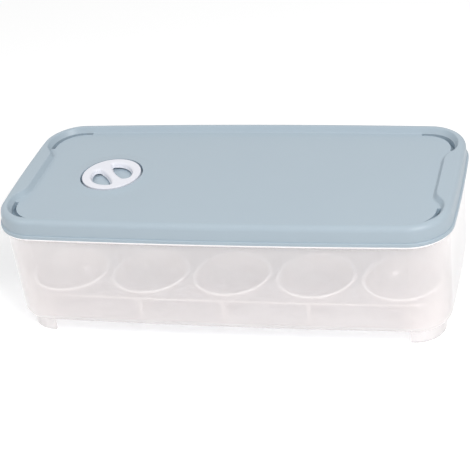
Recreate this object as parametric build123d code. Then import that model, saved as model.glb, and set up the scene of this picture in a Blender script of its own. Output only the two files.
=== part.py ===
from build123d import *
import os
from math import atan2, cos, degrees, hypot, radians, sin, tan

# Egg storage container: a frosted box with four corner feet, a lift-out tray of ten cups and a push-on lid.
# A white knob in the lid turns over two air holes. All sizes are in millimetres.
# The origin is on the table under the middle of the box, +X along the length, +Z up.

# Lid plan, measured at the lip
LID_LENGTH = 280.0
LID_WIDTH = 130.4
LID_CORNER_RADIUS = 26.0
LONG_SIDE_BOW = 2.6
SHORT_SIDE_BOW = 1.7

# Heights of the box
LIP_HEIGHT = 72.0
FOOT_HEIGHT = 8.5

# Box walls
WALL_INSET = 2.8
WALL_THICKNESS = 1.8
FLOOR_THICKNESS = 1.8
WALL_DRAFT = 1.0
BOTTOM_EDGE_RADIUS = 5.5
LEDGE_INSET = 1.0
LEDGE_THICKNESS = 1.3
LEDGE_GAP = 0.3
LEDGE_EDGE_RADIUS = 0.4
RIM_THICKNESS = 1.5
RIM_ROOT_DEPTH = 1.4
RIM_EDGE_RADIUS = 0.4

# Lid section
LIP_BAND_HEIGHT = 2.2
LIP_BAND_STEP = 0.9
LIP_EDGE_RADIUS = 0.6
LID_HEIGHT = 12.0
SHOULDER_INSET = 1.6
SHOULDER_RADIUS = 3.6
LID_THICKNESS = 1.5
PANEL_THICKNESS = 1.8
PANEL_INSET = 8.0
PANEL_DEPTH = 3.6
PANEL_WALL_SLOPE = 2.2
PANEL_EDGE_RADIUS = 0.8
PANEL_ROOT_RADIUS = 1.0
CHANNEL_COVER = 3.0
PLUG_RIB_DEPTH = 4.4

# Corner pockets of the lid, and the feet that stand in them when boxes are stacked
PANEL_CORNER_RADIUS = 17.5
PANEL_SIDE_GAP = 2.1
PANEL_END_GAP = 2.5
POCKET_DEPTH = 4.4
POCKET_REACH_X = 31.0
POCKET_REACH_Y = 31.2
FOOT_CLEARANCE = 0.3
FOOT_REACH_X = 28.0
FOOT_REACH_Y = 30.6
FOOT_EDGE_RADIUS = 0.3

# Grip pads at the short ends of the lid
PAD_REACH = 6.8
PAD_INNER_LENGTH = 49.0
PAD_OUTER_LENGTH = 65.0
PAD_CORNER_RADIUS = 13.0

# Lid seal
SEAL_THICKNESS = 1.2
SEAL_SIDE_GAP = 0.1

# Egg tray
CUP_PITCH_LONG = 52.6
CUP_PITCH_WIDE = 59.8
CUP_RADIUS = 24.7
CUP_BEAD_WIDTH = 2.4
CUP_FLOOR_RADIUS = 6.0
CUP_BOWL_RADIUS = 26.0
CUP_FLOOR_GAP = 0.7
TRAY_HEIGHT = 18.3
TRAY_THICKNESS = 1.5
TRAY_CLEARANCE = 0.6
TRAY_EDGE_RADIUS = 0.5
RIB_THICKNESS = 1.8
RIB_LENGTH = 22.0
SKIRT_THICKNESS = 1.5
SKIRT_GAP = 0.4
SKIRT_REACH_X = 31.0
SKIRT_REACH_Y = 35.2

# Vent knob, its well and the low boss round the well
KNOB_X = -79.0
KNOB_RADIUS = 18.7
KNOB_GAP = 1.25
KNOB_PROUD = 0.5
KNOB_LIFT = 1.4
KNOB_EDGE_RADIUS = 0.6
WELL_DEPTH = 2.8
BOSS_HEIGHT = 1.0
BOSS_RIM_WIDTH = 1.2
BOSS_SLOPE_WIDTH = 5.0
BOSS_SOFT_RADIUS = 18.0
OPENING_RADIUS = 12.4
OPENING_ANGLE = 38.0
OPENING_HALF_SPAN = 66.0
OPENING_SLOPE = 1.2
OPENING_EDGE_RADIUS = 1.8
OPENING_SHARP_RADIUS = 0.9
OPENING_ROUND_RADIUS = 2.4
BAR_HALF_WIDTH = 3.2
PIN_RADIUS = 2.2
PIN_FIT = 0.08
BARB_STEP = 0.6
BARB_GAP = 0.2
BARB_HEIGHT = 1.6
PIN_SLOT_WIDTH = 1.0
PIN_SLOT_ROOT = 0.6
VENT_HOLE_RADIUS = 2.3
VENT_HOLE_OFFSET = 8.7
VENT_PAD_OVERLAP = 1.2
VENT_PAD_THICKNESS = 1.8
VENT_PAD_GAP = 0.1
VENT_PAD_FIT = 0.02

# Heights that follow from the sizes above
LID_TOP = LIP_HEIGHT + LID_HEIGHT
PANEL_TOP = LID_TOP - PANEL_DEPTH
PANEL_UNDERSIDE = PANEL_TOP - PANEL_THICKNESS
PLUG_RIB_BOTTOM = PANEL_UNDERSIDE - PLUG_RIB_DEPTH
CHANNEL_TOP = LID_TOP - CHANNEL_COVER
RIM_TOP = CHANNEL_TOP - SEAL_THICKNESS
LEDGE_TOP = LIP_HEIGHT - LEDGE_GAP
LEDGE_BOTTOM = LEDGE_TOP - LEDGE_THICKNESS
FLOOR_TOP = FOOT_HEIGHT + FLOOR_THICKNESS
TRAY_TOP = FLOOR_TOP + TRAY_HEIGHT
TRAY_UNDERSIDE = TRAY_TOP - TRAY_THICKNESS
CUP_UNDERSIDE = FLOOR_TOP + CUP_FLOOR_GAP
CUP_FLOOR = CUP_UNDERSIDE + TRAY_THICKNESS
POCKET_FLOOR = PANEL_TOP - POCKET_DEPTH
WELL_FLOOR = PANEL_TOP - WELL_DEPTH
WELL_UNDERSIDE = WELL_FLOOR - LID_THICKNESS
BOSS_TOP = PANEL_TOP + BOSS_HEIGHT
KNOB_TOP = BOSS_TOP + KNOB_PROUD
KNOB_BOTTOM = WELL_FLOOR + KNOB_LIFT
VENT_PAD_BOTTOM = WELL_FLOOR + VENT_PAD_GAP
VENT_PAD_TOP = VENT_PAD_BOTTOM + VENT_PAD_THICKNESS

# Insets from the lip and radii that follow from the sizes above
PLUG_INSET = PANEL_INSET - LID_THICKNESS
RIM_INSET = WALL_INSET + WALL_THICKNESS
MOUTH_INSET = RIM_INSET + RIM_THICKNESS
TRAY_INSET = MOUTH_INSET + TRAY_CLEARANCE
CUP_MOUTH_RADIUS = CUP_RADIUS - CUP_BEAD_WIDTH
WELL_RADIUS = KNOB_RADIUS + KNOB_GAP
VENT_PAD_RADIUS = VENT_HOLE_RADIUS + VENT_PAD_OVERLAP
BAR_ANGLE = OPENING_ANGLE + 90.0

# As many cups as the tray's plate has room for, at their pitch
CUPS_LONG = 1 + int((LID_LENGTH / 2 - TRAY_INSET - CUP_RADIUS) * 2 // CUP_PITCH_LONG)
CUPS_WIDE = 1 + int((LID_WIDTH / 2 - TRAY_INSET - CUP_RADIUS) * 2 // CUP_PITCH_WIDE)


def side_radius(half_chord, bow):
    """Radius of a side that bulges by bow over a chord."""
    return (half_chord**2 + bow**2) / (2 * bow)


def bowed_rectangle(side_inset, end_inset):
    """Four gently bowed sides that meet in sharp corners, as the overlap of four large discs."""
    half_x = LID_LENGTH / 2
    half_y = LID_WIDTH / 2
    long_radius = side_radius(half_x - SHORT_SIDE_BOW, LONG_SIDE_BOW)
    short_radius = side_radius(half_y - LONG_SIDE_BOW, SHORT_SIDE_BOW)
    front = Pos(0, long_radius - half_y) * Circle(long_radius - side_inset)
    back = Pos(0, half_y - long_radius) * Circle(long_radius - side_inset)
    left = Pos(short_radius - half_x, 0) * Circle(short_radius - end_inset)
    right = Pos(half_x - short_radius, 0) * Circle(short_radius - end_inset)
    return front & back & left & right


def outline(inset):
    """The lip's plan with its round corners, moved inwards by inset."""
    plan = bowed_rectangle(inset, inset)
    return fillet(plan.vertices(), LID_CORNER_RADIUS - inset)


def prism(plan, bottom, top):
    return Pos(0, 0, bottom) * extrude(plan, top - bottom)


def taper(bottom_inset, top_inset, bottom, top):
    return loft([Pos(0, 0, bottom) * outline(bottom_inset), Pos(0, 0, top) * outline(top_inset)], ruled=True)


def band(outer_inset, inner_inset, bottom, top):
    return prism(outline(outer_inset), bottom, top) - prism(outline(inner_inset), bottom, top)


def disc(x, y, radius, bottom, top):
    return Pos(x, y, bottom) * Cylinder(radius, top - bottom, align=(Align.CENTER, Align.CENTER, Align.MIN))


def lowest(solid):
    return solid.edges().group_by(Axis.Z)[0]


def highest(solid):
    return solid.edges().group_by(Axis.Z)[-1]


def corner_zones(reach_x, reach_y):
    """Four rectangles in plan over the corners, each reaching in from the lip."""
    zones = Sketch()
    for side_x in (-1, 1):
        for side_y in (-1, 1):
            centre = Pos(side_x * (LID_LENGTH - reach_x) / 2, side_y * (LID_WIDTH - reach_y) / 2)
            zones += centre * Rectangle(reach_x, reach_y)
    return zones


def panel_outline(growth):
    """The panel's plan between its corner pockets, moved outwards by growth."""
    plan = bowed_rectangle(PANEL_INSET + PANEL_SIDE_GAP - growth, PANEL_INSET + PANEL_END_GAP - growth)
    return fillet(plan.vertices(), PANEL_CORNER_RADIUS + growth)


def pocket_plan():
    """Curved slots round the panel's corners, along the foot of the rim."""
    return (outline(PANEL_INSET) - panel_outline(0)) & corner_zones(POCKET_REACH_X, POCKET_REACH_Y)


def foot_plan():
    """Curved walls that drop into the pockets of the lid below."""
    walls = outline(PANEL_INSET + FOOT_CLEARANCE) - panel_outline(FOOT_CLEARANCE)
    return walls & corner_zones(FOOT_REACH_X, FOOT_REACH_Y)


def wall_inset(height):
    """Outer face of the box wall at a height; the wall leans inwards towards the floor."""
    return WALL_INSET + (LEDGE_BOTTOM - height) * tan(radians(WALL_DRAFT))


def box_wall():
    shell = taper(wall_inset(FOOT_HEIGHT), WALL_INSET, FOOT_HEIGHT, LEDGE_BOTTOM)
    shell = fillet(lowest(shell), BOTTOM_EDGE_RADIUS)
    hollow = taper(wall_inset(FLOOR_TOP) + WALL_THICKNESS, RIM_INSET, FLOOR_TOP, LEDGE_BOTTOM)
    hollow = fillet(lowest(hollow), BOTTOM_EDGE_RADIUS - WALL_THICKNESS)
    return shell - hollow


def box_rim():
    """Ledge that the lid's lip comes down to, and the thinner rim that stands inside the lid."""
    ledge = prism(outline(LEDGE_INSET), LEDGE_BOTTOM, LEDGE_TOP)
    ledge = fillet(highest(ledge) + lowest(ledge), LEDGE_EDGE_RADIUS)
    root = LEDGE_BOTTOM - RIM_ROOT_DEPTH
    rim = ledge + prism(outline(RIM_INSET), root, RIM_TOP) - prism(outline(MOUTH_INSET), root, RIM_TOP)
    return fillet(highest(rim), RIM_EDGE_RADIUS)


def box_feet():
    feet = prism(foot_plan(), 0, FOOT_HEIGHT + FLOOR_THICKNESS / 2)
    return fillet(lowest(feet), FOOT_EDGE_RADIUS)


def container_body():
    return box_wall() + box_rim() + box_feet()


def cup_positions():
    places = []
    for column in range(CUPS_LONG):
        for row in range(CUPS_WIDE):
            x = (column - (CUPS_LONG - 1) / 2) * CUP_PITCH_LONG
            y = (row - (CUPS_WIDE - 1) / 2) * CUP_PITCH_WIDE
            places.append((x, y))
    return places


def turned(edges):
    """Solid turned round the vertical axis from a profile drawn as radius and height."""
    return revolve(Plane.XZ * make_face(edges), Axis.Z)


def bowl_line(throat_radius, throat_height, floor_height):
    """Curved side of a bowl, from its flat floor up to its throat."""
    floor = (CUP_FLOOR_RADIUS, floor_height)
    return RadiusArc(floor, (throat_radius, throat_height), -CUP_BOWL_RADIUS)


def cup():
    """Bowl with a flat foot and a half-round bead at its mouth."""
    foot = (CUP_FLOOR_RADIUS, CUP_UNDERSIDE)
    floor = (CUP_FLOOR_RADIUS, CUP_FLOOR)
    mouth = (CUP_MOUTH_RADIUS, TRAY_TOP)
    bead_top = (CUP_MOUTH_RADIUS + CUP_BEAD_WIDTH / 2, TRAY_TOP + CUP_BEAD_WIDTH / 2)
    bead_outside = (CUP_RADIUS, TRAY_TOP)
    bead_root = (CUP_RADIUS, TRAY_UNDERSIDE)
    throat = (CUP_MOUTH_RADIUS + TRAY_THICKNESS, TRAY_UNDERSIDE)
    edges = Polyline(foot, (0, CUP_UNDERSIDE), (0, CUP_FLOOR), floor)
    edges += bowl_line(*mouth, CUP_FLOOR)
    edges += ThreePointArc(mouth, bead_top, bead_outside)
    edges += Polyline(bead_outside, bead_root, throat)
    edges += bowl_line(*throat, CUP_UNDERSIDE)
    return turned(edges)


def cup_hollow():
    """The room inside one cup."""
    mouth = (CUP_MOUTH_RADIUS, TRAY_TOP)
    edges = Polyline(mouth, (0, TRAY_TOP), (0, CUP_FLOOR), (CUP_FLOOR_RADIUS, CUP_FLOOR))
    edges += bowl_line(*mouth, CUP_FLOOR)
    return turned(edges)


def tray_rib(x, side):
    """Upright rib from the plate's edge to a cup, cut back at its foot to clear the box's round bottom."""
    edge = LID_WIDTH / 2 - TRAY_INSET - LONG_SIDE_BOW * (2 * x / LID_LENGTH) ** 2
    clear = LID_WIDTH / 2 - floor_flat_inset() - SKIRT_GAP
    cut = edge - clear
    inner = edge - RIB_LENGTH
    points = [
        (0, side * inner, FLOOR_TOP),
        (0, side * clear, FLOOR_TOP),
        (0, side * edge, FLOOR_TOP + cut),
        (0, side * edge, TRAY_UNDERSIDE),
        (0, side * inner, TRAY_UNDERSIDE),
    ]
    profile = make_face(Polyline(*points, close=True))
    return Pos(x, 0, 0) * extrude(profile, RIB_THICKNESS / 2, dir=(1, 0, 0), both=True)


def floor_flat_inset():
    """Inset at which the box's floor becomes flat inside its round bottom edge."""
    return wall_inset(FLOOR_TOP) + BOTTOM_EDGE_RADIUS


def corner_skirts():
    """Upright walls under the plate at its corners, which carry the tray on the floor."""
    outer = floor_flat_inset() + SKIRT_GAP
    ring = outline(outer) - outline(outer + SKIRT_THICKNESS)
    return prism(ring & corner_zones(SKIRT_REACH_X, SKIRT_REACH_Y), FLOOR_TOP, TRAY_UNDERSIDE)


def egg_tray():
    plate = prism(outline(TRAY_INSET), TRAY_UNDERSIDE, TRAY_TOP)
    plate = fillet(highest(plate), TRAY_EDGE_RADIUS)
    supports = corner_skirts()
    middle_columns = range(1, CUPS_LONG - 1)
    for column in middle_columns:
        x = (column - (CUPS_LONG - 1) / 2) * CUP_PITCH_LONG
        for side in (-1, 1):
            supports += tray_rib(x, side)
    tray = plate
    for x, y in cup_positions():
        supports -= Pos(x, y, 0) * cup_hollow()
        tray -= disc(x, y, CUP_MOUTH_RADIUS + CUP_BEAD_WIDTH / 2, TRAY_UNDERSIDE, TRAY_TOP)
    tray += supports
    for x, y in cup_positions():
        tray += Pos(x, y, 0) * cup()
    return tray


def pad_plan(side, shrink):
    """One grip pad in plan: a trapezoid that runs out to the lip, its other sides moved inwards by shrink."""
    inner_x = LID_LENGTH / 2 - PANEL_INSET - PAD_REACH + shrink
    outer_x = LID_LENGTH / 2
    lean = (PAD_OUTER_LENGTH - PAD_INNER_LENGTH) / 2 / PAD_REACH
    inner_y = PAD_INNER_LENGTH / 2 - shrink * (hypot(1, lean) - lean)
    outer_y = inner_y + lean * (outer_x - inner_x)
    points = [(inner_x, -inner_y), (outer_x, -outer_y), (outer_x, outer_y), (inner_x, inner_y)]
    pad = make_face(Polyline(*[(side * x, y) for x, y in points], close=True))
    inner_corners = [corner for corner in pad.vertices() if abs(corner.Y) < PAD_OUTER_LENGTH / 2]
    return fillet(inner_corners, PAD_CORNER_RADIUS - shrink)


def recess_plan(growth):
    """The sunk area inside the rim, which bends smoothly round both pads, moved outwards by growth."""
    plan = outline(PANEL_INSET - growth) - pad_plan(-1, growth) - pad_plan(1, growth)
    near_rim = LID_LENGTH / 2 - PANEL_INSET - SHORT_SIDE_BOW + growth
    pad_ends = [v for v in plan.vertices() if abs(v.X) > near_rim and abs(v.Y) < PAD_OUTER_LENGTH / 2]
    return fillet(pad_ends, PAD_CORNER_RADIUS + growth)


def recess_growth(height):
    """How far the sloped wall of the recess has moved outwards at a height."""
    return PANEL_WALL_SLOPE * (height - PANEL_TOP) / PANEL_DEPTH


def skirt_inset(height):
    """Outer face of the lid's skirt at a height above the lip band."""
    rise = (height - LIP_HEIGHT - LIP_BAND_HEIGHT) / (LID_HEIGHT - LIP_BAND_HEIGHT)
    return LIP_BAND_STEP + rise * (SHOULDER_INSET - LIP_BAND_STEP)


def lid_outside():
    band_top = LIP_HEIGHT + LIP_BAND_HEIGHT
    lip = prism(outline(0), LIP_HEIGHT, band_top)
    lip = fillet(highest(lip), LIP_EDGE_RADIUS)
    skirt = taper(skirt_inset(LIP_HEIGHT), SHOULDER_INSET, LIP_HEIGHT, LID_TOP)
    skirt = fillet(highest(skirt), SHOULDER_RADIUS)
    return lip + skirt


def lid_recess():
    above = LID_TOP + PANEL_EDGE_RADIUS
    recess = loft([Pos(0, 0, z) * recess_plan(recess_growth(z)) for z in (PANEL_TOP, above)], ruled=True)
    recess = fillet(lowest(recess), PANEL_ROOT_RADIUS)
    pockets = prism(pocket_plan(), POCKET_FLOOR, PANEL_TOP + PANEL_ROOT_RADIUS)
    return recess + pockets


def seal_channel():
    """Channel under the raised rim, between the skirt and the plug rib."""
    bottom_inset = skirt_inset(LIP_HEIGHT) + LID_THICKNESS
    top_inset = skirt_inset(CHANNEL_TOP) + LID_THICKNESS
    return taper(bottom_inset, top_inset, LIP_HEIGHT, CHANNEL_TOP) - prism(
        outline(PLUG_INSET), LIP_HEIGHT, CHANNEL_TOP
    )


def pad_hollow(side):
    """Hollow inside one pad, whose sides lean as the pad's own do."""
    bottom = PANEL_UNDERSIDE - LID_THICKNESS
    top = LID_TOP - LID_THICKNESS
    wall = LID_THICKNESS * hypot(1, PANEL_WALL_SLOPE / PANEL_DEPTH)
    layers = [Pos(0, 0, z) * pad_plan(side, wall + recess_growth(z)) for z in (bottom, top)]
    return loft(layers, ruled=True) & prism(outline(PANEL_INSET), bottom, top)


def lid_underside():
    """The hollow under the panel; the pockets' floors and walls are left standing in it."""
    hollow = prism(outline(PANEL_INSET), PLUG_RIB_BOTTOM, PANEL_UNDERSIDE)
    below_rib = prism(outline(PLUG_INSET), LIP_HEIGHT, PLUG_RIB_BOTTOM)
    pocket_shell = outline(PANEL_INSET) - panel_outline(-LID_THICKNESS)
    pocket_shell &= corner_zones(POCKET_REACH_X + LID_THICKNESS, POCKET_REACH_Y + LID_THICKNESS)
    hollow -= prism(pocket_shell, POCKET_FLOOR - LID_THICKNESS, PANEL_UNDERSIDE)
    for side in (-1, 1):
        hollow += pad_hollow(side)
    well = Cylinder(WELL_RADIUS + LID_THICKNESS, PANEL_UNDERSIDE - WELL_UNDERSIDE)
    return hollow + below_rib - Pos(KNOB_X, 0, (PANEL_UNDERSIDE + WELL_UNDERSIDE) / 2) * well


def vent_positions():
    """Places of the two air holes, in line under the knob's bar when it is closed."""
    angle = radians(BAR_ANGLE)
    reach = VENT_HOLE_OFFSET
    return [(KNOB_X + side * reach * cos(angle), side * reach * sin(angle)) for side in (-1, 1)]


def add_boss(part):
    """Raise a low boss with soft slopes on the panel, where the well will be cut."""
    rim_radius = WELL_RADIUS + BOSS_RIM_WIDTH
    foot_radius = rim_radius + BOSS_SLOPE_WIDTH
    part += Pos(KNOB_X, 0, PANEL_TOP + BOSS_HEIGHT / 2) * Cone(foot_radius, rim_radius, BOSS_HEIGHT)
    circles = part.edges().filter_by(GeomType.CIRCLE)
    bends = [edge for edge in circles if edge.radius in (foot_radius, rim_radius)]
    return fillet(bends, BOSS_SOFT_RADIUS)


def lid():
    part = lid_outside() - lid_recess()
    part = fillet(highest(part), PANEL_EDGE_RADIUS)
    part = add_boss(part)
    part -= seal_channel()
    part -= lid_underside()
    part -= disc(KNOB_X, 0, WELL_RADIUS, WELL_FLOOR, LID_TOP)
    part -= disc(KNOB_X, 0, PIN_RADIUS + PIN_FIT, WELL_UNDERSIDE, WELL_FLOOR)
    for x, y in vent_positions():
        part -= disc(x, y, VENT_HOLE_RADIUS, WELL_UNDERSIDE, WELL_FLOOR)
    return part


def lid_seal():
    """Soft ring at the top of the channel, where the box's rim presses."""
    outer = skirt_inset(CHANNEL_TOP) + LID_THICKNESS + SEAL_SIDE_GAP
    return band(outer, PLUG_INSET - SEAL_SIDE_GAP, RIM_TOP, CHANNEL_TOP)


def knob_opening():
    """Comma-shaped finger opening between the ring and the bar, at the knob's underside."""
    start = radians(OPENING_ANGLE + OPENING_HALF_SPAN)
    middle = radians(OPENING_ANGLE)
    end = radians(OPENING_ANGLE - OPENING_HALF_SPAN)
    tip = (OPENING_RADIUS * cos(start), OPENING_RADIUS * sin(start))
    heel = (OPENING_RADIUS * cos(end), OPENING_RADIUS * sin(end))
    at_bar = (BAR_HALF_WIDTH * cos(middle), BAR_HALF_WIDTH * sin(middle))
    at_ring = (OPENING_RADIUS * cos(middle), OPENING_RADIUS * sin(middle))
    plan = make_face(ThreePointArc(tip, at_bar, heel) + ThreePointArc(heel, at_ring, tip))
    plan = fillet(plan.vertices().sort_by_distance((*tip, 0))[0], OPENING_SHARP_RADIUS)
    return fillet(plan.vertices().sort_by_distance((*heel, 0))[0], OPENING_ROUND_RADIUS)


def knob_pin():
    """Split pin with a barb that snaps under the well's floor."""
    barb_top = WELL_UNDERSIDE - BARB_GAP
    barb_middle = barb_top - BARB_HEIGHT / 2
    pin = disc(0, 0, PIN_RADIUS, barb_middle, KNOB_BOTTOM)
    barb = Pos(0, 0, barb_middle) * Cone(PIN_RADIUS - BARB_STEP, PIN_RADIUS + BARB_STEP, BARB_HEIGHT)
    slot_top = KNOB_BOTTOM - PIN_SLOT_ROOT
    slot_bottom = barb_top - BARB_HEIGHT
    slot = Box(2 * KNOB_RADIUS, PIN_SLOT_WIDTH, slot_top - slot_bottom)
    return pin + barb - Pos(0, 0, (slot_top + slot_bottom) / 2) * slot


def vent_knob():
    ring = disc(0, 0, KNOB_RADIUS, KNOB_BOTTOM, KNOB_TOP)
    ring = fillet(highest(ring), KNOB_EDGE_RADIUS)
    depth = KNOB_TOP - KNOB_BOTTOM
    draft = degrees(atan2(OPENING_SLOPE, depth))
    opening = Pos(0, 0, KNOB_BOTTOM) * extrude(knob_opening(), depth, taper=-draft)
    for turn in (0, 180):
        ring -= Rot(0, 0, turn) * opening
    between = (OPENING_RADIUS + OPENING_SLOPE + KNOB_RADIUS) / 2
    opening_edges = [edge for edge in highest(ring) if edge.bounding_box().max.X < between]
    ring = fillet(opening_edges, OPENING_EDGE_RADIUS)
    knob = Pos(KNOB_X, 0, 0) * (ring + knob_pin())
    for x, y in vent_positions():
        knob -= disc(x, y, VENT_PAD_RADIUS + VENT_PAD_FIT, KNOB_BOTTOM, VENT_PAD_TOP)
    return knob


def vent_seals():
    pads = [disc(x, y, VENT_PAD_RADIUS, VENT_PAD_BOTTOM, VENT_PAD_TOP) for x, y in vent_positions()]
    return Compound(children=pads)


NODES = {
    "container_body": container_body,
    "egg_tray": egg_tray,
    "lid": lid,
    "lid_seal": lid_seal,
    "vent_knob": vent_knob,
    "vent_seals": vent_seals,
}

os.makedirs("parts", exist_ok=True)
for name, make in NODES.items():
    export_step(make(), f"parts/{name}.step")
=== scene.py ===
"""Egg storage container: frosted box, lift-out cup tray, blue push-on lid and turning vent knob.

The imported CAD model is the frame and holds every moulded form. This script dresses its nodes with
finished materials and sets up the camera, the floor and soft studio light.
All lengths are in metres unless a name ends in _mm.
"""

import logging
import math
from dataclasses import dataclass, field
from enum import Enum

import bpy
from mathutils import Matrix, Vector


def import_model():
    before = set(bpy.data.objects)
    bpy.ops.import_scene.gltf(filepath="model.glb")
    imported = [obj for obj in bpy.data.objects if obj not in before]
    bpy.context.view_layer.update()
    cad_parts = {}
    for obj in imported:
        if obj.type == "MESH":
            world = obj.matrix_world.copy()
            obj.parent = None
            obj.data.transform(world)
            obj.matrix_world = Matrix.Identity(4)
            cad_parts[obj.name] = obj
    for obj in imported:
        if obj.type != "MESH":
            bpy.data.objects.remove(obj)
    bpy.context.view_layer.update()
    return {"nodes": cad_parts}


LOG = logging.getLogger("egg_container")
MM = 0.001

# Pitch of the cups in the tray, as in the CAD model
CUP_PITCH_LONG = 52.6 * MM
CUP_PITCH_WIDE = 59.8 * MM


def linear(hex_colour: str) -> tuple[float, float, float, float]:
    """Turn an sRGB hex colour into linear light.

    Args:
        hex_colour: Six hex digits, red first.

    Returns:
        Linear red, green, blue and an alpha of one.
    """
    channels = [int(hex_colour[i : i + 2], 16) / 255 for i in (0, 2, 4)]
    toe, slope, offset, power = 0.04045, 12.92, 0.055, 2.4
    bright = [c / slope if c <= toe else ((c + offset) / (1 + offset)) ** power for c in channels]
    return (bright[0], bright[1], bright[2], 1.0)


def add_node(
    tree: bpy.types.NodeTree,
    kind: str,
    settings: dict[str, object] | None = None,
    values: dict[str | int, object] | None = None,
    links: dict[str | int, bpy.types.NodeSocket] | None = None,
) -> bpy.types.Node:
    """Add one shader node.

    Args:
        tree: The node tree that takes the node.
        kind: Blender's type name of the node.
        settings: Properties of the node itself.
        values: Constants for its input sockets, by name or number.
        links: Output sockets that feed its input sockets, by name or number.

    Returns:
        The new node.
    """
    node = tree.nodes.new(kind)
    for name, value in (settings or {}).items():
        setattr(node, name, value)
    for name, value in (values or {}).items():
        node.inputs[name].default_value = value
    for name, source in (links or {}).items():
        tree.links.new(source, node.inputs[name])
    return node


def noise(
    tree: bpy.types.NodeTree, size_mm: float, detail: float, roughness: float
) -> bpy.types.NodeSocket:
    """Add a noise pattern in object coordinates.

    Args:
        tree: The node tree that takes the nodes.
        size_mm: Size of one blot in millimetres.
        detail: How many finer layers it has.
        roughness: How strong the finer layers are.

    Returns:
        The socket with the pattern, from zero to one.
    """
    return add_node(
        tree,
        "ShaderNodeTexNoise",
        values={"Scale": 1 / (size_mm * MM), "Detail": detail, "Roughness": roughness},
        links={"Vector": add_node(tree, "ShaderNodeTexCoord").outputs["Object"]},
    ).outputs["Fac"]


def mixed_colour(
    tree: bpy.types.NodeTree, first: str, second: str, share: bpy.types.NodeSocket
) -> bpy.types.NodeSocket:
    """Mix two sRGB hex colours by a pattern.

    Args:
        tree: The node tree that takes the node.
        first: Colour where the pattern is zero.
        second: Colour where the pattern is one.
        share: The pattern.

    Returns:
        The socket with the mixed colour.
    """
    # The mix node names its colour sockets like its number sockets, so they go by number
    colour_a, colour_b, mixed = 6, 7, 2
    node = add_node(
        tree,
        "ShaderNodeMix",
        settings={"data_type": "RGBA"},
        values={colour_a: linear(first), colour_b: linear(second)},
        links={"Factor": share},
    )
    return node.outputs[mixed]


def grain_normal(
    tree: bpy.types.NodeTree, size_mm: float, depth_mm: float
) -> bpy.types.NodeSocket:
    """Add the bump of a mould's grain.

    Args:
        tree: The node tree that takes the nodes.
        size_mm: Size of one grain in millimetres.
        depth_mm: Depth of the grain in millimetres.

    Returns:
        The socket with the bumped normal.
    """
    return add_node(
        tree,
        "ShaderNodeBump",
        values={"Distance": depth_mm * MM, "Strength": 1.0},
        links={"Height": noise(tree, size_mm, detail=2.0, roughness=0.6)},
    ).outputs["Normal"]


class Body(Enum):
    """The rigid bodies of the frame."""

    BOX = "box"
    TRAY = "tray"
    LID = "lid"
    KNOB = "knob"


@dataclass(frozen=True)
class MouldedPlastic:
    """Injection-moulded plastic with a fine mould grain and faint flow clouds.

    The grain is finer than the picture can show, so it is drawn a little coarser than the real one.
    """

    name: str
    colour: str
    cloud_colour: str
    roughness: float
    roughness_swing: float
    ior: float
    grain_mm: float = 0.8
    grain_depth_mm: float = 0.012
    cloud_mm: float = 45.0

    def build(self) -> bpy.types.Material:
        """Make the material.

        Returns:
            The node material of this plastic.
        """
        material = bpy.data.materials.new(self.name)
        material.use_nodes = True
        tree = material.node_tree
        tree.nodes.clear()
        cloud = noise(tree, self.cloud_mm, detail=3.0, roughness=0.55)
        roughness = add_node(
            tree,
            "ShaderNodeMapRange",
            values={
                "To Min": self.roughness - self.roughness_swing,
                "To Max": self.roughness + self.roughness_swing,
            },
            links={"Value": cloud},
        ).outputs["Result"]
        shader = add_node(
            tree,
            "ShaderNodeBsdfPrincipled",
            values={"IOR": self.ior, "Metallic": 0.0},
            links={
                "Base Color": mixed_colour(tree, self.colour, self.cloud_colour, cloud),
                "Roughness": roughness,
                "Normal": grain_normal(tree, self.grain_mm, self.grain_depth_mm),
            },
        )
        add_node(tree, "ShaderNodeOutputMaterial", links={"Surface": shader.outputs["BSDF"]})
        return material


# Polypropylene with a blue-grey pigment, spark-eroded mould: an even satin, highlights spread wide
LID_BLUE = MouldedPlastic(
    name="blue_polypropylene_spark_eroded",
    colour="AFBEC9",
    cloud_colour="B3C2CC",
    roughness=0.40,
    roughness_swing=0.03,
    ior=1.49,
)


class Measure(Enum):
    """What a stretch of a moulding is measured by, in object coordinates."""

    LENGTH = "distance from the middle along X"
    WIDTH = "distance from the middle along Y"
    HEIGHT = "height"
    CUP_RADIUS = "distance from the axis of the nearest cup"
    UPRIGHT = "how far a face is from lying flat, from zero to one"


@dataclass(frozen=True)
class Stretch:
    """From where to where a moulding is denser, by one measure; both ends fade over twice soft."""

    by: Measure
    low: float
    high: float
    soft: float

    def mask(self, tree: bpy.types.NodeTree) -> bpy.types.NodeSocket:
        """Find one inside the stretch and zero outside it.

        Args:
            tree: The material's node tree.

        Returns:
            The socket with the mask.
        """
        measured = measure(tree, self.by)
        ends = []
        for at, before, after in ((self.low, 0.0, 1.0), (self.high, 1.0, 0.0)):
            end = add_node(
                tree,
                "ShaderNodeMapRange",
                settings={"interpolation_type": "SMOOTHSTEP"},
                values={
                    "From Min": at - self.soft,
                    "From Max": at + self.soft,
                    "To Min": before,
                    "To Max": after,
                },
                links={"Value": measured},
            )
            ends.append(end.outputs["Result"])
        return math_node(tree, "MULTIPLY", *ends)


@dataclass(frozen=True)
class DenseZone:
    """A place where sight passes along the plastic or through more of it, so it hides more.

    Its glow is painted light: an emission that makes the zone paler.
    """

    film: float
    glow: float
    stretches: tuple[Stretch, ...]

    def mask(self, tree: bpy.types.NodeTree, level: float) -> bpy.types.NodeSocket | float:
        """Find a level inside all stretches of the zone and zero outside them.

        Args:
            tree: The material's node tree.
            level: The level inside the zone.

        Returns:
            The socket with the masked level.
        """
        masked: bpy.types.NodeSocket | float = level
        for stretch in self.stretches:
            masked = math_node(tree, "MULTIPLY", stretch.mask(tree), masked)
        return masked


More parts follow.
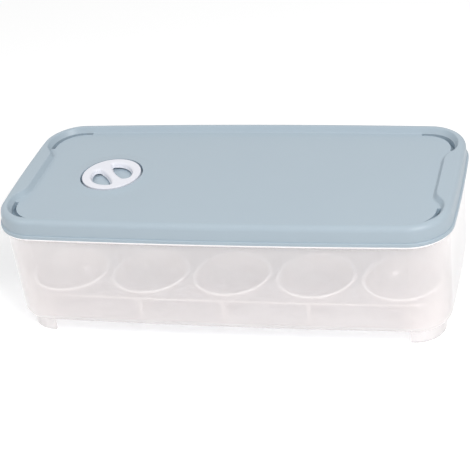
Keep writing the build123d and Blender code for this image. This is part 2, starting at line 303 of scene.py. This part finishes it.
def math_node(
    tree: bpy.types.NodeTree, operation: str, *operands: bpy.types.NodeSocket | float
) -> bpy.types.NodeSocket:
    """Add one sum, product or other operation on numbers.

    Args:
        tree: The node tree that takes the node.
        operation: Blender's name of the operation.
        operands: Sockets or constants, in order.

    Returns:
        The result's socket.
    """
    node = add_node(tree, "ShaderNodeMath", settings={"operation": operation})
    for number, operand in enumerate(operands):
        if isinstance(operand, bpy.types.NodeSocket):
            tree.links.new(operand, node.inputs[number])
        else:
            node.inputs[number].default_value = operand
    return node.outputs["Value"]


def measure(tree: bpy.types.NodeTree, by: Measure) -> bpy.types.NodeSocket:
    """Measure where a point of the surface is.

    Args:
        tree: The material's node tree.
        by: What to measure.

    Returns:
        The socket with the measure, in metres except for UPRIGHT.
    """
    texture = add_node(tree, "ShaderNodeTexCoord").outputs
    if by is Measure.UPRIGHT:
        normal = add_node(tree, "ShaderNodeSeparateXYZ", links={0: texture["Normal"]}).outputs
        return math_node(tree, "SUBTRACT", 1.0, math_node(tree, "ABSOLUTE", normal["Z"]))
    place = add_node(tree, "ShaderNodeSeparateXYZ", links={0: texture["Object"]}).outputs
    if by is Measure.HEIGHT:
        return place["Z"]
    if by is Measure.LENGTH:
        return math_node(tree, "ABSOLUTE", place["X"])
    if by is Measure.WIDTH:
        return math_node(tree, "ABSOLUTE", place["Y"])
    long_way = math_node(tree, "WRAP", place["X"], CUP_PITCH_LONG / 2, -CUP_PITCH_LONG / 2)
    wide_way = math_node(tree, "WRAP", place["Y"], CUP_PITCH_WIDE, 0.0)
    wide_way = math_node(tree, "SUBTRACT", wide_way, CUP_PITCH_WIDE / 2)
    squares = [math_node(tree, "POWER", way, 2.0) for way in (long_way, wide_way)]
    return math_node(tree, "SQRT", math_node(tree, "ADD", *squares))


@dataclass(frozen=True)
class MilkyPlastic:
    """Unpigmented moulded plastic: a thin wall lets sight through and scatters light as milk does.

    Each face of a wall is one film. A film seen edge-on is longer to look through, so it hides
    more.
    """

    name: str
    colour: str
    cloud_colour: str
    tint: str
    film: float
    film_edge_on: float
    film_swing: float
    through: float
    roughness: float
    ior: float
    haze_passes: float = 0.95
    dense: tuple[DenseZone, ...] = ()
    grain_mm: float = 0.9
    grain_depth_mm: float = 0.006
    cloud_mm: float = 30.0

    def film_share(
        self,
        tree: bpy.types.NodeTree,
        facing: bpy.types.NodeSocket,
        cloud: bpy.types.NodeSocket,
    ) -> bpy.types.NodeSocket:
        """Work out how much of what lies behind one face is hidden.

        The share is film + (film_edge_on - film) * (1 - |cos|)^1.5, where cos is between the sight
        line and the face's normal. The clouds swing it by film_swing, and a dense zone can raise it.
        Haze bends light more than it stops it, so for rays that carry light, not sight, the share is
        less by haze_passes.

        Args:
            tree: The material's node tree.
            facing: One minus |cos| of the sight line to the face's normal.
            cloud: The cloud pattern, from zero to one.

        Returns:
            The socket with the share.
        """
        power = 1.5
        share = add_node(
            tree,
            "ShaderNodeMapRange",
            values={"To Min": self.film, "To Max": self.film_edge_on},
            links={"Value": math_node(tree, "POWER", facing, power)},
        ).outputs["Result"]
        swing = add_node(
            tree,
            "ShaderNodeMapRange",
            values={"To Min": 1 - self.film_swing, "To Max": 1 + self.film_swing},
            links={"Value": cloud},
        ).outputs["Result"]
        share = math_node(tree, "MULTIPLY", share, swing)
        for zone in self.dense:
            share = math_node(tree, "MAXIMUM", share, zone.mask(tree, zone.film))
        path = add_node(tree, "ShaderNodeLightPath").outputs
        lighting = math_node(tree, "MAXIMUM", path["Is Shadow Ray"], path["Is Diffuse Ray"])
        kept = math_node(tree, "MULTIPLY_ADD", lighting, -self.haze_passes, 1.0)
        return math_node(tree, "MINIMUM", math_node(tree, "MULTIPLY", share, kept), 1.0)

    def mirror_share(
        self, tree: bpy.types.NodeTree, facing: bpy.types.NodeSocket
    ) -> bpy.types.NodeSocket:
        """Work out how much a face mirrors: r + (1 - r) * (1 - |cos|)^5, the same from both sides.

        Args:
            tree: The material's node tree.
            facing: One minus |cos| of the sight line to the face's normal.

        Returns:
            The socket with the share.
        """
        head_on = ((self.ior - 1) / (self.ior + 1)) ** 2
        power = 5.0
        return add_node(
            tree,
            "ShaderNodeMapRange",
            values={"To Min": head_on, "To Max": 1.0},
            links={"Value": math_node(tree, "POWER", facing, power)},
        ).outputs["Result"]

    def build(self) -> bpy.types.Material:
        """Make the material.

        Returns:
            The node material of this plastic.
        """
        material = bpy.data.materials.new(self.name)
        material.use_nodes = True
        tree = material.node_tree
        tree.nodes.clear()
        facing = add_node(tree, "ShaderNodeLayerWeight", values={"Blend": 0.5}).outputs["Facing"]
        cloud = noise(tree, self.cloud_mm, detail=3.0, roughness=0.6)
        colour = mixed_colour(tree, self.colour, self.cloud_colour, cloud)
        bump = grain_normal(tree, self.grain_mm, self.grain_depth_mm)
        face = add_node(
            tree,
            "ShaderNodeBsdfPrincipled",
            values={"Specular IOR Level": 0.0, "Roughness": self.roughness},
            links={"Base Color": colour, "Normal": bump},
        )
        glow = add_node(
            tree,
            "ShaderNodeBsdfTranslucent",
            links={"Color": colour, "Normal": bump},
        )
        milk = add_node(
            tree,
            "ShaderNodeMixShader",
            values={0: self.through},
            links={1: face.outputs["BSDF"], 2: glow.outputs["BSDF"]},
        )
        # Painted light: each dense zone's glow is an emission added to the milk, which makes the
        # zone paler
        painted_glow_level: bpy.types.NodeSocket | float = 0.0
        for zone in self.dense:
            painted_glow_level = math_node(tree, "MAXIMUM", painted_glow_level, zone.mask(tree, zone.glow))
        painted_glow = add_node(
            tree,
            "ShaderNodeEmission",
            links={"Color": colour, "Strength": painted_glow_level},
        )
        milk = add_node(
            tree,
            "ShaderNodeAddShader",
            links={0: milk.outputs["Shader"], 1: painted_glow.outputs["Emission"]},
        )
        # The painted glow brightens only the plastic and lights nothing else, so it isn't sampled as
        # a lamp
        material.cycles.emission_sampling = "NONE"
        clear = add_node(
            tree, "ShaderNodeBsdfTransparent", values={"Color": linear(self.tint)}
        )
        wall = add_node(
            tree,
            "ShaderNodeMixShader",
            links={
                0: self.film_share(tree, facing, cloud),
                1: clear.outputs["BSDF"],
                2: milk.outputs["Shader"],
            },
        )
        gloss = add_node(
            tree,
            "ShaderNodeBsdfGlossy",
            values={"Roughness": self.roughness, "Color": linear("FFFFFF")},
            links={"Normal": bump},
        )
        whole = add_node(
            tree,
            "ShaderNodeMixShader",
            links={
                0: self.mirror_share(tree, facing),
                1: wall.outputs["Shader"],
                2: gloss.outputs["BSDF"],
            },
        )
        add_node(tree, "ShaderNodeOutputMaterial", links={"Surface": whole.outputs["Shader"]})
        return material


# Natural polypropylene with a light frost from the mould: milky film, outlines behind stay sharp.
# The zones are the ledge, a white line under the lid, the upper wall, which is also hazier, and the
# corner walls, which the edge-on film already makes denser. Each zone's glow is painted light: on
# the ledge and the upper wall it paints out the lid's shade, and at the corners it paints them
# paler.
BOX_FROSTED = MilkyPlastic(
    name="natural_polypropylene_frosted",
    colour="FFF9F8",
    cloud_colour="FFFCFB",
    tint="FFFEFE",
    film=0.22,
    film_edge_on=0.85,
    film_swing=0.06,
    through=0.10,
    roughness=0.30,
    ior=1.49,
    dense=(
        DenseZone(
            film=0.90,
            glow=0.55,
            stretches=(Stretch(Measure.HEIGHT, 70.4 * MM, 72.0 * MM, 0.2 * MM),),
        ),
        DenseZone(
            film=0.28,
            glow=0.20,
            stretches=(Stretch(Measure.HEIGHT, 50.0 * MM, 110.0 * MM, 24.0 * MM),),
        ),
        DenseZone(
            film=0.0,
            glow=0.14,
            stretches=(
                Stretch(Measure.LENGTH, 116.0 * MM, 150.0 * MM, 12.0 * MM),
                Stretch(Measure.WIDTH, 46.0 * MM, 80.0 * MM, 8.0 * MM),
            ),
        ),
    ),
)

# The tray's natural polypropylene, smooth both sides: clearer, with soft highlights in the cups.
# Sight runs along the plastic in the cups' beads, the plate's edge and the ribs, so they hide more,
# and a painted glow makes them show as pale lines.
TRAY_CLEAR = MilkyPlastic(
    name="natural_polypropylene_polished",
    colour="FFF9F8",
    cloud_colour="FFFCFB",
    tint="FFFEFE",
    film=0.16,
    film_edge_on=0.85,
    film_swing=0.06,
    through=0.10,
    roughness=0.24,
    ior=1.49,
    dense=(
        DenseZone(
            film=0.95,
            glow=0.16,
            stretches=(
                Stretch(Measure.CUP_RADIUS, 22.4 * MM, 24.6 * MM, 0.3 * MM),
                Stretch(Measure.HEIGHT, 28.0 * MM, 30.5 * MM, 0.3 * MM),
            ),
        ),
        DenseZone(
            film=0.95,
            glow=0.08,
            stretches=(
                Stretch(Measure.UPRIGHT, 0.6, 1.6, 0.2),
                Stretch(Measure.WIDTH, 54.0 * MM, 60.0 * MM, 1.0 * MM),
            ),
        ),
    ),
    grain_depth_mm=0.004,
)

# White polypropylene of the knob, polished mould: brighter and glossier than the lid, cool white
KNOB_WHITE = MouldedPlastic(
    name="white_polypropylene_polished",
    colour="EDEEF6",
    cloud_colour="F0F1F8",
    roughness=0.28,
    roughness_swing=0.03,
    ior=1.49,
)

# Silicone of the seals, matt mould: soft white without a clear highlight
SEAL_SILICONE = MouldedPlastic(
    name="white_silicone_matt_moulded",
    colour="E6E6E4",
    cloud_colour="EAEAE8",
    roughness=0.6,
    roughness_swing=0.03,
    ior=1.43,
)


@dataclass
class SubAssembly:
    """One body of the frame with the CAD nodes that it carries and what each is moulded in."""

    body: Body
    finishes: dict[str, MouldedPlastic | MilkyPlastic] = field(default_factory=dict)

    def dress(self, nodes: dict[str, bpy.types.Object]) -> None:
        """Give each carried-over CAD node its finished material.

        Args:
            nodes: The frame's objects by node name.
        """
        for name, finish in self.finishes.items():
            node = nodes[name]
            node.data.materials.clear()
            node.data.materials.append(finish.build())
            LOG.info("%s: %s in %s", self.body.value, name, finish.name)


@dataclass
class StorageBox(SubAssembly):
    """The frosted box with its ledge and its four feet."""

    body: Body = Body.BOX
    finishes: dict[str, MouldedPlastic | MilkyPlastic] = field(
        default_factory=lambda: {"container_body": BOX_FROSTED}
    )


@dataclass
class CupTray(SubAssembly):
    """The lift-out tray of ten cups."""

    body: Body = Body.TRAY
    finishes: dict[str, MouldedPlastic | MilkyPlastic] = field(
        default_factory=lambda: {"egg_tray": TRAY_CLEAR}
    )


@dataclass
class PushOnLid(SubAssembly):
    """The blue lid with the soft ring in its channel."""

    body: Body = Body.LID
    finishes: dict[str, MouldedPlastic | MilkyPlastic] = field(
        default_factory=lambda: {"lid": LID_BLUE, "lid_seal": SEAL_SILICONE}
    )


@dataclass
class TurningKnob(SubAssembly):
    """The white knob with the two pads that close the air holes."""

    body: Body = Body.KNOB
    finishes: dict[str, MouldedPlastic | MilkyPlastic] = field(
        default_factory=lambda: {"vent_knob": KNOB_WHITE, "vent_seals": SEAL_SILICONE}
    )


@dataclass
class PhotoCamera:
    """Camera at the photograph's viewing angle, fitted to the lid's outline and the cup rims."""

    yaw_deg: float = 17.56
    pitch_deg: float = 31.11
    roll_deg: float = 8.12
    distance: float = 0.9241
    rise: float = 0.02865
    target: Vector = field(default_factory=lambda: Vector((0.0, 0.0, 0.072)))
    focal_px: float = 1498.72
    frame_px: float = 470.0
    sensor_mm: float = 36.0

    def build(self) -> bpy.types.Object:
        """Make the camera and set it as the scene's.

        Returns:
            The camera object.
        """
        data = bpy.data.cameras.new("photo_camera")
        data.sensor_width = self.sensor_mm
        data.lens = self.focal_px / self.frame_px * self.sensor_mm
        camera = bpy.data.objects.new("photo_camera", data)
        turn = (
            Matrix.Rotation(math.radians(self.yaw_deg), 3, "Z")
            @ Matrix.Rotation(-math.radians(self.pitch_deg), 3, "X")
            @ Matrix.Rotation(math.radians(self.roll_deg), 3, "Y")
        )
        right, forward, up = turn.col[0], turn.col[1], turn.col[2]
        place = self.target - forward * self.distance - up * self.rise
        camera.matrix_world = Matrix(
            (
                (right.x, up.x, -forward.x, place.x),
                (right.y, up.y, -forward.y, place.y),
                (right.z, up.z, -forward.z, place.z),
                (0.0, 0.0, 0.0, 1.0),
            )
        )
        bpy.context.scene.collection.objects.link(camera)
        bpy.context.scene.camera = camera
        return camera


@dataclass(frozen=True)
class SoftBox:
    """One square lamp of the studio, which looks at the object."""

    power: float
    place: tuple[float, float, float]


@dataclass
class Studio:
    """Plain pale floor and soft light from overhead."""

    floor_size: float = 6.0
    floor_colour: str = "F3F3F3"
    floor_lift: float = 0.29
    world_strength: float = 0.05
    world_slope: tuple[float, float, float] = (0.0, 0.0, 0.77)
    lamp_size: float = 0.40
    lamps: tuple[SoftBox, ...] = (
        SoftBox(power=9.3, place=(0.659, -0.785, 1.025)),
        SoftBox(power=2.5, place=(-0.883, -0.618, 0.970)),
    )
    most_films: int = 32
    most_bounces: int = 16

    def hang(self, name: str, soft_box: SoftBox) -> None:
        """Hang one soft box.

        Args:
            name: The lamp's name.
            soft_box: Its power and its place.
        """
        data = bpy.data.lights.new(name, "AREA")
        data.size = self.lamp_size
        data.energy = soft_box.power
        lamp = bpy.data.objects.new(name, data)
        place = Vector(soft_box.place)
        lamp.location = place
        lamp.rotation_mode = "QUATERNION"
        lamp.rotation_quaternion = (-place).to_track_quat("-Z", "Y")
        bpy.context.scene.collection.objects.link(lamp)

    def white_where_seen(self, tree: bpy.types.NodeTree) -> bpy.types.NodeSocket:
        """Find one for rays that show the background, and zero for rays that light the object.

        Args:
            tree: The node tree that takes the nodes.

        Returns:
            The socket with the mask.
        """
        path = add_node(tree, "ShaderNodeLightPath").outputs
        seen = path["Is Camera Ray"]
        for kind in ("Is Glossy Ray", "Is Transmission Ray"):
            seen = math_node(tree, "MAXIMUM", seen, path[kind])
        return seen

    def build_floor(self) -> bpy.types.Object:
        """Lay the floor, which shows as white and keeps the object's shadow.

        Returns:
            The floor's object.
        """
        mesh = bpy.data.meshes.new("floor")
        half = self.floor_size / 2
        corners = [(-half, -half, 0.0), (half, -half, 0.0), (half, half, 0.0), (-half, half, 0.0)]
        mesh.from_pydata(corners, [], [(0, 1, 2, 3)])
        floor = bpy.data.objects.new("floor", mesh)
        bpy.context.scene.collection.objects.link(floor)
        material = bpy.data.materials.new("painted_board_matt_white")
        material.use_nodes = True
        tree = material.node_tree
        tree.nodes.clear()
        board = add_node(
            tree, "ShaderNodeBsdfDiffuse", values={"Color": linear(self.floor_colour)}
        )
        seen = self.white_where_seen(tree)
        glow = add_node(
            tree,
            "ShaderNodeEmission",
            links={"Strength": math_node(tree, "MULTIPLY", seen, self.floor_lift)},
        )
        both = add_node(
            tree,
            "ShaderNodeAddShader",
            links={0: board.outputs["BSDF"], 1: glow.outputs["Emission"]},
        )
        add_node(tree, "ShaderNodeOutputMaterial", links={"Surface": both.outputs["Shader"]})
        mesh.materials.append(material)
        return floor

    def build_world(self) -> None:
        """Light the scene softly, most from overhead, with white behind."""
        world = bpy.data.worlds.new("studio")
        bpy.context.scene.world = world
        world.use_nodes = True
        tree = world.node_tree
        tree.nodes.clear()
        seen = self.white_where_seen(tree)
        lean = add_node(
            tree,
            "ShaderNodeVectorMath",
            settings={"operation": "DOT_PRODUCT"},
            values={1: self.world_slope},
            links={0: add_node(tree, "ShaderNodeTexCoord").outputs["Generated"]},
        ).outputs["Value"]
        strength = add_node(
            tree,
            "ShaderNodeMapRange",
            values={"To Max": 1.0},
            links={"Value": seen, "To Min": math_node(tree, "ADD", lean, self.world_strength)},
        ).outputs["Result"]
        sky = add_node(
            tree,
            "ShaderNodeBackground",
            values={"Color": linear("FFFFFF")},
            links={"Strength": strength},
        )
        add_node(tree, "ShaderNodeOutputWorld", links={"Surface": sky.outputs["Background"]})

    def build(self) -> None:
        """Lay the floor and hang the lamps."""
        self.build_floor()
        self.build_world()
        for number, soft_box in enumerate(self.lamps):
            self.hang(f"soft_box_{number}", soft_box)
        scene = bpy.context.scene
        scene.view_settings.view_transform = "Standard"
        scene.cycles.transparent_max_bounces = self.most_films
        scene.cycles.max_bounces = self.most_films
        scene.cycles.diffuse_bounces = self.most_bounces
        LOG.info("studio: floor, world and %d soft boxes", len(self.lamps))


def main() -> None:
    """Build the whole visual model round the frame."""
    logging.basicConfig(level=logging.INFO, format="%(message)s")
    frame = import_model()
    for sub_assembly in (StorageBox(), CupTray(), PushOnLid(), TurningKnob()):
        sub_assembly.dress(frame["nodes"])
    PhotoCamera().build()
    Studio().build()


if __name__ == "__main__":
    main()
